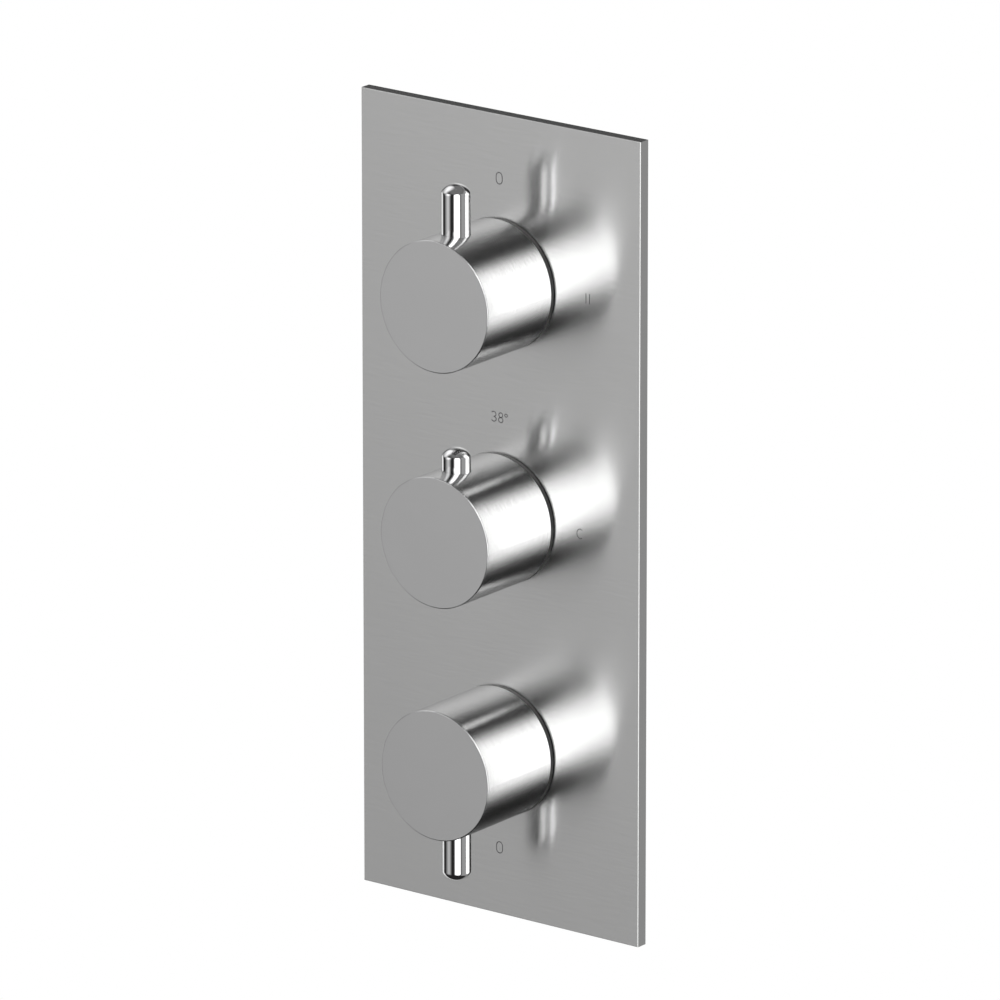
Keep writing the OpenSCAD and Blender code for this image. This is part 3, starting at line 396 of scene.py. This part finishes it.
# Pipe thread in a bore: grooves of one pitch, and a mask of where they are.
def threadGroup():
    group, given, result = shaderGroup(
        "boreThread",
        [("Vector", vectorSocket, None), ("Centre", vectorSocket, None), ("Axis", vectorSocket, None),
         ("Radius", floatSocket, 0.01), ("Half Length", floatSocket, 0.006),
         ("Pitch", floatSocket, 0.0018)],
        [("Height", floatSocket), ("Mask", floatSocket)])
    offset = doVector(group, "SUBTRACT", given["Vector"], given["Centre"])
    along = addNode(group, "ShaderNodeVectorMath", {0: offset, 1: given["Axis"]},
                    operation="DOT_PRODUCT").outputs["Value"]
    foot = addNode(group, "ShaderNodeVectorMath", {0: given["Axis"], "Scale": along},
                   operation="SCALE").outputs[0]
    radius = lengthOf(group, doVector(group, "SUBTRACT", offset, foot))
    inside = doMath(group, "LESS_THAN", radius, given["Radius"])
    threaded = doMath(group, "LESS_THAN", doMath(group, "ABSOLUTE", along), given["Half Length"])
    mask = doMath(group, "MULTIPLY", inside, threaded)
    turns = doMath(group, "DIVIDE", along, given["Pitch"])
    groove = doMath(group, "MULTIPLY", doMath(group, "PINGPONG", turns, 0.5), 2.0)  # 0 to 1 and back
    group.links.new(doMath(group, "MULTIPLY", groove, mask), result["Height"])
    group.links.new(mask, result["Mask"])
    return group


brushLines = brushLinesGroup(brushSet)
mottle = mottleGroup(mottleSet)
castSkin = castSkinGroup(castSkinSet)
boreThread = threadGroup()

# Materials

# how much of a normal lies along an axis, for a surface to count as facing it
facingSet = {"front": 0.95, "edge": 0.7, "sideBevel": 0.5, "anyAxis": 0.9}


def objectPoint(tree, scale=None):
    where = addNode(tree, "ShaderNodeTexCoord").outputs["Object"]
    if scale is None:
        return where
    return addNode(tree, "ShaderNodeMapping", {"Vector": where, "Scale": scale}).outputs[0]


# 1 where the surface faces along that axis of its own frame, either way.
def facing(tree, axis, limit):
    normal = addNode(tree, "ShaderNodeTexCoord").outputs["Normal"]
    parts = addNode(tree, "ShaderNodeSeparateXYZ", {0: normal}).outputs
    return doMath(tree, "GREATER_THAN", doMath(tree, "ABSOLUTE", parts[axis]), limit)


# 1 on a bevel, which faces along none of the axes.
def onBevel(tree):
    normal = addNode(tree, "ShaderNodeTexCoord").outputs["Normal"]
    parts = addNode(tree, "ShaderNodeSeparateXYZ", {0: doVector(tree, "ABSOLUTE", normal)}).outputs
    return doMath(tree, "LESS_THAN", combine(tree, "MAXIMUM", list(parts)), facingSet["anyAxis"])


# 1 on the plate under the drums, where it is left as it was rolled.
def underDrums(tree, where):
    masks = []
    for name in ("top_knob", "temperature_knob", "bottom_knob"):
        low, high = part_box(name)
        middle = (low + high) / 2
        offset = doVector(tree, "SUBTRACT", where, (middle.x, 0, middle.z))
        away = lengthOf(tree, doVector(tree, "MULTIPLY", offset, (1, 0, 1)))
        masks.append(doMath(tree, "LESS_THAN", away, (high.x - low.x) / 2))
    return combine(tree, "MAXIMUM", masks)


# A direction of the piece's own frame, turned with the piece.
def ownAxis(tree, vector):
    arrow = addNode(tree, "ShaderNodeCombineXYZ", dict(enumerate(vector))).outputs[0]
    return addNode(tree, "ShaderNodeVectorTransform", {0: arrow}, vector_type="VECTOR",
                   convert_from="OBJECT", convert_to="WORLD").outputs[0]


def mottled(tree, where, spec):
    return placeGroup(tree, mottle, {"Vector": where, "Scale": spec["cloud"], "Color": spec["color"],
                                     "Shade": spec["shade"], "Roughness": spec["roughness"],
                                     "Spread": spec["spread"]})


def bumpFrom(tree, height, distance):
    return addNode(tree, "ShaderNodeBump", {"Height": height, "Distance": distance}).outputs[0]


def principled(tree, inputs):
    shader = addNode(tree, "ShaderNodeBsdfPrincipled", inputs)
    addNode(tree, "ShaderNodeOutputMaterial", {0: shader.outputs[0]})


lineRange = (0.3, 0.7)  # where nearly all values of the lines lie


# Brushed along X on flat pieces, and round the drum on turned ones. The fronts of both face along Y.
def brushedSteel(name, spec, turned):
    material, tree = blank(name)
    front = facing(tree, 1, facingSet["front"])
    if turned:
        stretch = chooseVector(tree, front, spec["roundLines"], spec["flatLines"])
    else:
        edge = facing(tree, 0, facingSet["edge"])
        stretch = chooseVector(tree, edge, spec["flatLines"], spec["edgeLines"])
    acrossLines = chooseVector(tree, front, ownAxis(tree, (0, 1, 0)), ownAxis(tree, (0, 0, 1)))
    where = objectPoint(tree)
    lines = placeGroup(tree, brushLines, {"Vector": doVector(tree, "MULTIPLY", where, stretch)})["Lines"]
    tone = mottled(tree, where, spec)
    share = choose(tree, front, 1.0, spec["faceShare"])
    swing = remap(tree, lines, *lineRange, -spec["streak"], spec["streak"])
    streak = doMath(tree, "ADD", doMath(tree, "MULTIPLY", swing, share), 1.0)
    color = doVector(tree, "MULTIPLY", tone["Color"], streak)
    rough = tone["Roughness"]
    if not turned:
        # Painted shade: the plate's bevels are darkened, those facing sideways more than those at the
        # ends, to dim the key light's highlight lines along the edges.
        sideBevel = facing(tree, 0, facingSet["sideBevel"])
        shade = choose(tree, sideBevel, spec["endBevelPaintedShade"], spec["sideBevelPaintedShade"])
        color = doVector(tree, "MULTIPLY", color, choose(tree, onBevel(tree), 1.0, shade))
        rough = choose(tree, underDrums(tree, where), rough, spec["seatRoughness"])
    height = doMath(tree, "MULTIPLY", lines, share)
    principled(tree, {"Metallic": 1.0, "Anisotropic": spec["anisotropy"], "Base Color": color,
                      "Roughness": rough, "Tangent": acrossLines,
                      "Normal": bumpFrom(tree, height, spec["depth"])})
    return material


plateSteelSet = {"color": (0.622, 0.622, 0.618, 1), "roughness": 0.183, "spread": 0.02,
                 "anisotropy": 0.89, "cloud": 25.0, "shade": 0.03, "streak": 0.008,
                 "depth": 0.014 * mm, "faceShare": 1.0, "seatRoughness": 0.8,
                 # painted shade on the plate's bevels: the share of their colour that stays, at the ends
                 # and at the sides
                 "endBevelPaintedShade": 0.85, "sideBevelPaintedShade": 0.5,
                 "flatLines": (420, 420, 3600), "edgeLines": (3600, 420, 420)}
knobSteelSet = {"color": (0.60, 0.60, 0.60, 1), "roughness": 0.2, "spread": 0.02,
                "anisotropy": 0.9, "cloud": 60.0, "shade": 0.03, "streak": 0.035,
                "depth": 0.04 * mm, "faceShare": 0.18,
                "flatLines": (420, 420, 3600), "roundLines": (600, 4200, 600)}


# Machined, drawn or plated metal.
def plainMetal(name, spec):
    material, tree = blank(name)
    tone = mottled(tree, objectPoint(tree), spec)
    lines = placeGroup(tree, brushLines, {"Vector": objectPoint(tree, spec["lines"])})["Lines"]
    principled(tree, {"Metallic": 1.0, "Base Color": tone["Color"], "Roughness": tone["Roughness"],
                      "Normal": bumpFrom(tree, lines, spec["depth"])})
    return material


# Sand-cast metal, with bright machined faces at its ends and threads in its bores.
def castMetal(name, spec):
    material, tree = blank(name)
    where = objectPoint(tree)
    x, y, z = addNode(tree, "ShaderNodeSeparateXYZ", {0: where}).outputs
    low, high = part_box("valve_body")
    skim = spec["skim"]
    cut = combine(tree, "MAXIMUM", [doMath(tree, "LESS_THAN", x, low.x + skim),
                                    doMath(tree, "LESS_THAN", y, low.y + skim),
                                    doMath(tree, "LESS_THAN", z, low.z + skim),
                                    doMath(tree, "GREATER_THAN", z, high.z - skim)])
    tone = mottled(tree, where, spec)
    color = chooseVector(tree, cut, tone["Color"], spec["cutColor"])
    rough = choose(tree, cut, tone["Roughness"], spec["cutRoughness"])
    skin = placeGroup(tree, castSkin, {"Vector": where, "Scale": spec["grain"]})["Height"]
    rings = placeGroup(tree, brushLines, {"Vector": objectPoint(tree, spec["rings"])})["Lines"]
    height = choose(tree, cut, skin, doMath(tree, "MULTIPLY", rings, spec["ringShare"]))
    bores = [placeGroup(tree, boreThread, {
        "Vector": where, "Centre": mount["pos_m"], "Axis": mount["axis"],
        "Radius": mount["dims"]["r_mm"] * mm + spec["threadOver"],
        "Half Length": mount["dims"]["length_mm"] * mm / 2, "Pitch": spec["pitch"]})
        for mount in frame["record"]["mounts"] if mount["kind"] == "threaded_hole"]
    thread = combine(tree, "ADD", [bore["Height"] for bore in bores])
    tapped = combine(tree, "ADD", [bore["Mask"] for bore in bores])
    color = chooseVector(tree, tapped, color, spec["cutColor"])
    rough = choose(tree, tapped, rough, spec["cutRoughness"])
    height = choose(tree, tapped, height, doMath(tree, "MULTIPLY", thread, spec["threadShare"]))
    principled(tree, {"Metallic": 1.0, "Base Color": color, "Roughness": rough,
                      "Normal": bumpFrom(tree, height, spec["depth"])})
    return material


# Rubber, foam, plastic and ceramic.
def softStuff(name, spec):
    material, tree = blank(name)
    where = objectPoint(tree)
    tone = mottled(tree, where, spec)
    skin = placeGroup(tree, castSkin, {"Vector": where, "Scale": spec["grain"]})["Height"]
    principled(tree, {"Specular IOR Level": spec["gloss"], "Base Color": tone["Color"],
                      "Roughness": tone["Roughness"], "Normal": bumpFrom(tree, skin, spec["depth"])})
    return material


pinChromeSet = {"color": (0.72, 0.72, 0.725, 1), "roughness": 0.075, "spread": 0.03, "cloud": 120.0,
                "shade": 0.02, "lines": (900, 900, 40), "depth": 0.0001 * mm}
platedBrassSet = {"color": (0.62, 0.61, 0.58, 1), "roughness": 0.22, "spread": 0.08, "cloud": 90.0,
                  "shade": 0.08, "lines": (150, 2500, 150), "depth": 0.002 * mm}
brassSet = {"color": (0.74, 0.56, 0.28, 1), "roughness": 0.26, "spread": 0.1, "cloud": 80.0,
            "shade": 0.12, "lines": (120, 2800, 120), "depth": 0.003 * mm}
castBrassSet = {"color": (0.60, 0.44, 0.21, 1), "roughness": 0.5, "spread": 0.2, "cloud": 38.0,
                "shade": 0.45, "grain": 520.0, "depth": 0.6 * mm, "skim": 0.6 * mm,
                "cutColor": (0.78, 0.60, 0.30), "cutRoughness": 0.24,
                "rings": (700, 700, 700), "ringShare": 0.1,
                "pitch": 1.814 * mm, "threadShare": 1.9, "threadOver": 0.3 * mm}
copperSet = {"color": (0.72, 0.38, 0.24, 1), "roughness": 0.3, "spread": 0.1, "cloud": 120.0,
             "shade": 0.15, "lines": (200, 1500, 200), "depth": 0.002 * mm}
springSteelSet = {"color": (0.56, 0.56, 0.56, 1), "roughness": 0.25, "spread": 0.08, "cloud": 300.0,
                  "shade": 0.08, "lines": (1500, 1500, 1500), "depth": 0.001 * mm}
screwSteelSet = {"color": (0.34, 0.34, 0.35, 1), "roughness": 0.35, "spread": 0.1, "cloud": 250.0,
                 "shade": 0.1, "lines": (300, 3000, 300), "depth": 0.002 * mm}
ceramicSet = {"color": (0.87, 0.86, 0.82, 1), "roughness": 0.16, "spread": 0.05, "cloud": 150.0,
              "shade": 0.04, "grain": 4000.0, "depth": 0.001 * mm, "gloss": 0.6}
whitePlasticSet = {"color": (0.8, 0.8, 0.77, 1), "roughness": 0.42, "spread": 0.08, "cloud": 120.0,
                   "shade": 0.05, "grain": 3500.0, "depth": 0.006 * mm, "gloss": 0.5}
rubberSet = {"color": (0.022, 0.022, 0.023, 1), "roughness": 0.55, "spread": 0.15, "cloud": 200.0,
             "shade": 0.4, "grain": 5000.0, "depth": 0.008 * mm, "gloss": 0.45}
foamSet = {"color": (0.055, 0.055, 0.058, 1), "roughness": 0.9, "spread": 0.1, "cloud": 150.0,
           "shade": 0.5, "grain": 1800.0, "depth": 0.12 * mm, "gloss": 0.25}

finishes = {
    "plate_steel": brushedSteel("plateSteel", plateSteelSet, False),
    "knob_steel": brushedSteel("knobSteel", knobSteelSet, True),
    "pin_chrome": plainMetal("pinChrome", pinChromeSet),
    "plated_brass": plainMetal("platedBrass", platedBrassSet),
    "brass": plainMetal("turnedBrass", brassSet),
    "cast_brass": castMetal("castBrass", castBrassSet),
    "copper": plainMetal("drawnCopper", copperSet),
    "spring_steel": plainMetal("springWire", springSteelSet),
    "screw_steel": plainMetal("screwSteel", screwSteelSet),
    "ceramic": softStuff("lappedCeramic", ceramicSet),
    "white_plastic": softStuff("mouldedPlastic", whitePlasticSet),
    "rubber": softStuff("blackRubber", rubberSet),
    "foam": softStuff("cellFoam", foamSet),
}
for name, node in nodes.items():
    node.data.materials.clear()
    node.data.materials.append(finishes[slotOf[name]])
print("materials set:", len(finishes))

# Geometry Nodes helpers


def shapeTree(name, inputs):
    tree = bpy.data.node_groups.new(name, "GeometryNodeTree")
    for label, kind in [("Geometry", "NodeSocketGeometry")] + inputs:
        tree.interface.new_socket(label, in_out="INPUT", socket_type=kind)
    tree.interface.new_socket("Geometry", in_out="OUTPUT", socket_type="NodeSocketGeometry")
    return tree, tree.nodes.new("NodeGroupInput").outputs


# Turns a shape and puts it in its place, as real mesh with its material.
def endTree(tree, shape, place, turn, material):
    stood = addNode(tree, "GeometryNodeTransform", {"Geometry": shape, "Translation": place,
                                                    "Rotation": turn})
    real = addNode(tree, "GeometryNodeRealizeInstances", {0: stood.outputs[0]})
    finished = addNode(tree, "GeometryNodeSetMaterial", {"Geometry": real.outputs[0],
                                                         "Material": material})
    tree.links.new(finished.outputs[0], tree.nodes.new("NodeGroupOutput").inputs[0])


# Runs the tree on an object and gives back one plain mesh object at the origin.
def bakeNodes(name, source, tree, values):
    modifier = source.modifiers.new("shape", "NODES")
    modifier.node_group = tree
    for item in tree.interface.items_tree:
        if item.item_type == "SOCKET" and item.in_out == "INPUT" and item.name in values:
            modifier[item.identifier] = values[item.name]
    shaped = source.evaluated_get(bpy.context.evaluated_depsgraph_get())
    mesh = bpy.data.meshes.new_from_object(shaped)
    mesh.name = name
    bm = bmesh.new()
    bm.from_mesh(mesh)
    bmesh.ops.remove_doubles(bm, verts=bm.verts, dist=mergeDistance)
    bmesh.ops.recalc_face_normals(bm, faces=bm.faces)
    bm.to_mesh(mesh)
    bm.free()
    piece = addObject(name, mesh)
    bpy.data.objects.remove(source, do_unlink=True)
    return piece


# Marks on the plate: thin dark strokes

marksSet = {
    # glyph, then its middle across and up the plate, its width and its height, in millimetres
    "glyphs": [("0", -0.2, 121.4, 2.6, 4.1), ("0", -0.1, -119.75, 2.6, 4.1),
               ("2 bars", 37.8, 85.1, 1.6, 3.6), ("1 bar", -37.8, -82.7, 1.6, 3.6),
               ("3", -2.5, 36.16, 1.95, 3.5), ("8", 0.45, 36.16, 1.95, 3.5),
               ("degree", 2.75, 37.3, 1.1, 1.1), ("C", 34.6, 0.73, 2.5, 3.4),
               ("H", -34.4, 0.73, 2.4, 3.4)],
    "width": 0.3, "height": 0.05,
    "color": (0.075, 0.075, 0.077, 1), "roughness": 0.5, "spread": 0.1, "cloud": 400.0, "shade": 0.3,
    "grain": 5000.0, "depth": 0.004 * mm, "gloss": 0.4,
}


# Part of an ellipse, angles in degrees from the right, anticlockwise.
def arcPoints(x, y, rx, ry, first, last, steps=20):
    turns = [math.radians(first + (last - first) * i / steps) for i in range(steps + 1)]
    return [(x + rx * math.cos(t), y + ry * math.sin(t)) for t in turns]


# Strokes of each glyph in a box from -0.5 to 0.5; True closes the stroke.
leftBar = ([(-0.5, -0.5), (-0.5, 0.5)], False)
rightBar = ([(0.5, -0.5), (0.5, 0.5)], False)
glyphStrokes = {
    "0": [(arcPoints(0, 0.14, 0.5, 0.36, 0, 180) + arcPoints(0, -0.14, 0.5, 0.36, 180, 360), True)],
    "1 bar": [([(0, -0.5), (0, 0.5)], False)],
    "2 bars": [leftBar, rightBar],
    "3": [(arcPoints(-0.04, 0.25, 0.5, 0.25, 150, -82), False),
          (arcPoints(-0.04, -0.25, 0.54, 0.25, 90, -150), False)],
    "8": [(arcPoints(0, 0.26, 0.42, 0.24, -90, 270), True),
          (arcPoints(0, -0.25, 0.5, 0.25, -90, 270), True)],
    "degree": [(arcPoints(0, 0, 0.5, 0.5, 0, 360), True)],
    "C": [(arcPoints(0.04, 0, 0.54, 0.5, 48, 312, 28), False)],
    "H": [leftBar, rightBar, ([(-0.5, 0), (0.5, 0)], False)],
}


def strokeTree(material):
    sizes = [(label, floatSocket) for label in ("Stroke Width", "Stroke Height", "Plate Front")]
    tree, given = shapeTree("plateStrokes", sizes)
    profile = addNode(tree, "GeometryNodeCurvePrimitiveQuadrilateral", {0: given["Stroke Width"],
                                                                      1: given["Stroke Height"]})
    solid = addNode(tree, "GeometryNodeCurveToMesh", {
        "Curve": given["Geometry"], "Profile Curve": profile.outputs[0], "Fill Caps": True})
    place = addNode(tree, "ShaderNodeCombineXYZ", {1: given["Plate Front"]}).outputs[0]
    endTree(tree, solid.outputs[0], place, (math.radians(90), 0, 0), material)
    return tree


sameSpot = 0.001  # of the box of a glyph, for a last point that stands on the first


def addMarks(spec):
    curve = bpy.data.curves.new("plateMarks", "CURVE")
    curve.dimensions = "3D"
    curve.twist_mode = "Z_UP"
    for glyph, across, up, width, height in spec["glyphs"]:
        for points, closed in glyphStrokes[glyph]:
            if closed and math.dist(points[0], points[-1]) < sameSpot:
                points = points[:-1]
            spline = curve.splines.new("POLY")
            spline.points.add(len(points) - 1)
            spline.use_cyclic_u = closed
            for point, (x, y) in zip(spline.points, points):
                point.co = ((across + x * width) * mm, (up + y * height) * mm, 0, 1)
    source = addObject("markStrokes", curve)
    piece = bakeNodes("plateMarks", source, strokeTree(softStuff("markInk", spec)), {
        "Stroke Width": spec["width"] * mm, "Stroke Height": spec["height"] * mm,
        "Plate Front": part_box("face_plate")[0].y})
    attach(piece, "root")
    print("marks made:", len(spec["glyphs"]))


addMarks(marksSet)

# Springs: coils of round wire in the place of each spring part, which pushes bodies apart; a spring with
# one body rides on it, the others stay where they are wound

coilSet = {"steps": 40, "wireSides": 16, "endGap": 0.45 * mm, "sharpDegrees": 50,
           "tilt": {"Y": -90, "Z": 0}}  # degrees about X that stand a coil along that axis
springSet = {
    # wire in millimetres, curls, the axis it stands along, and the bodies at its foot and head
    "button_spring": {"wire": 0.7, "curls": 4, "axis": "Z",
                      "bodies": ("temperature_handle", "stop_button")},
    "return_spring": {"wire": 1.1, "curls": 4, "axis": "Y", "bodies": ("thermostat_slide", "root")},
    "overload_spring": {"wire": 1.0, "curls": 3, "axis": "Y", "bodies": ("thermostat_slide",)},
    "hot_poppet_spring": {"wire": 0.7, "curls": 5, "axis": "Z", "bodies": ("hot_check", "root")},
    "cold_poppet_spring": {"wire": 0.7, "curls": 5, "axis": "Z", "bodies": ("cold_check", "root")},
}


def springTree(material, spec):
    sizes = [(label, floatSocket) for label in ("Coil Radius", "Wire Radius", "Curls", "Length",
                                                "End Pitch")]
    tree, given = shapeTree("coilSpring", sizes + [("Steps", "NodeSocketInt"), ("Foot", vectorSocket),
                                                   ("Turn", vectorSocket)])
    coil = addNode(tree, "GeometryNodeCurveSpiral", {
        "Resolution": given["Steps"], "Rotations": given["Curls"], "Start Radius": given["Coil Radius"],
        "End Radius": given["Coil Radius"], "Height": 0.0})
    # the first and last curls rise by the end pitch, and the others share the rest
    along = doMath(tree, "MULTIPLY", addNode(tree, "GeometryNodeSplineParameter").outputs[0],
                   given["Curls"])
    ends = doMath(tree, "ADD", doMath(tree, "MULTIPLY", given["End Pitch"], 2.0),
                  doMath(tree, "MULTIPLY", given["Wire Radius"], 2.0))
    middle = doMath(tree, "SUBTRACT", given["Length"], ends)
    lastCurl = doMath(tree, "SUBTRACT", given["Curls"], 1.0)
    rise = given["Wire Radius"]
    for low, high, step in ((0.0, 1.0, given["End Pitch"]), (1.0, lastCurl, middle),
                            (lastCurl, given["Curls"], given["End Pitch"])):
        rise = doMath(tree, "ADD", rise, remap(tree, along, low, high, 0.0, step))
    lift = addNode(tree, "ShaderNodeCombineXYZ", {2: rise})
    wound = addNode(tree, "GeometryNodeSetPosition", {"Geometry": coil.outputs[0],
                                                      "Offset": lift.outputs[0]})
    wire = addNode(tree, "GeometryNodeCurvePrimitiveCircle", {"Resolution": spec["wireSides"],
                                                              "Radius": given["Wire Radius"]})
    solid = addNode(tree, "GeometryNodeCurveToMesh", {
        "Curve": wound.outputs[0], "Profile Curve": wire.outputs[0], "Fill Caps": True})
    endTree(tree, solid.outputs[0], given["Foot"], given["Turn"], material)
    return tree


def addSpring(node, spec, tree, coil):
    low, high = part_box(node)
    axis = "XYZ".index(spec["axis"])
    foot = (low + high) / 2
    head = foot.copy()
    foot[axis], head[axis] = low[axis], high[axis]
    width = max(high[i] - low[i] for i in range(3) if i != axis)
    wire = spec["wire"] * mm
    first, *others = node.split("_")
    name = first + "".join(word.title() for word in others)
    tilt = math.radians(coil["tilt"][spec["axis"]])
    source = addObject("springSource", bpy.data.meshes.new("springSource"))
    piece = bakeNodes(name, source, tree, {
        "Coil Radius": (width - wire) / 2, "Wire Radius": wire / 2, "Curls": float(spec["curls"]),
        "Length": (head - foot).length, "End Pitch": wire + coil["endGap"], "Steps": coil["steps"],
        "Foot": tuple(foot), "Turn": (tilt, 0.0, 0.0)})
    piece.data.shade_smooth()
    piece.data.set_sharp_from_angle(angle=math.radians(coil["sharpDegrees"]))
    if len(spec["bodies"]) == 2:
        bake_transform(piece)
    else:
        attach(piece, *spec["bodies"])
    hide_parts(node)


coilSpring = springTree(finishes["spring_steel"], coilSet)
for springNode, springSpec in springSet.items():
    addSpring(springNode, springSpec, coilSpring, coilSet)
print("springs wound:", len(springSet))

# Foam gasket behind the plate: die-cut, with soft edges

gasketSet = {"edge": 0.45 * mm, "segments": 3, "fill": 0.9,
             "flatDegrees": 1, "cornerDegrees": 30, "sharpDegrees": 40}


def addGasket(spec):
    mesh = nodes["plate_gasket"].data.copy()
    mesh.name = "foamGasket"
    bm = bmesh.new()
    bm.from_mesh(mesh)
    bmesh.ops.remove_doubles(bm, verts=bm.verts, dist=mergeDistance)
    bmesh.ops.dissolve_limit(bm, angle_limit=math.radians(spec["flatDegrees"]), verts=bm.verts,
                             edges=bm.edges)
    corner = math.radians(spec["cornerDegrees"])
    sharp = [edge for edge in bm.edges if edge.is_manifold and edge.calc_face_angle(0) > corner]
    bmesh.ops.bevel(bm, geom=sharp, offset=spec["edge"], segments=spec["segments"], profile=0.5,
                    affect="EDGES")
    bmesh.ops.recalc_face_normals(bm, faces=bm.faces)
    bm.to_mesh(mesh)
    bm.free()
    piece = addObject("foamGasket", mesh)
    mesh.shade_smooth()
    mesh.set_sharp_from_angle(angle=math.radians(spec["sharpDegrees"]))
    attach(piece, "root")
    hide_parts("plate_gasket")
    print("gasket made")


addGasket(gasketSet)
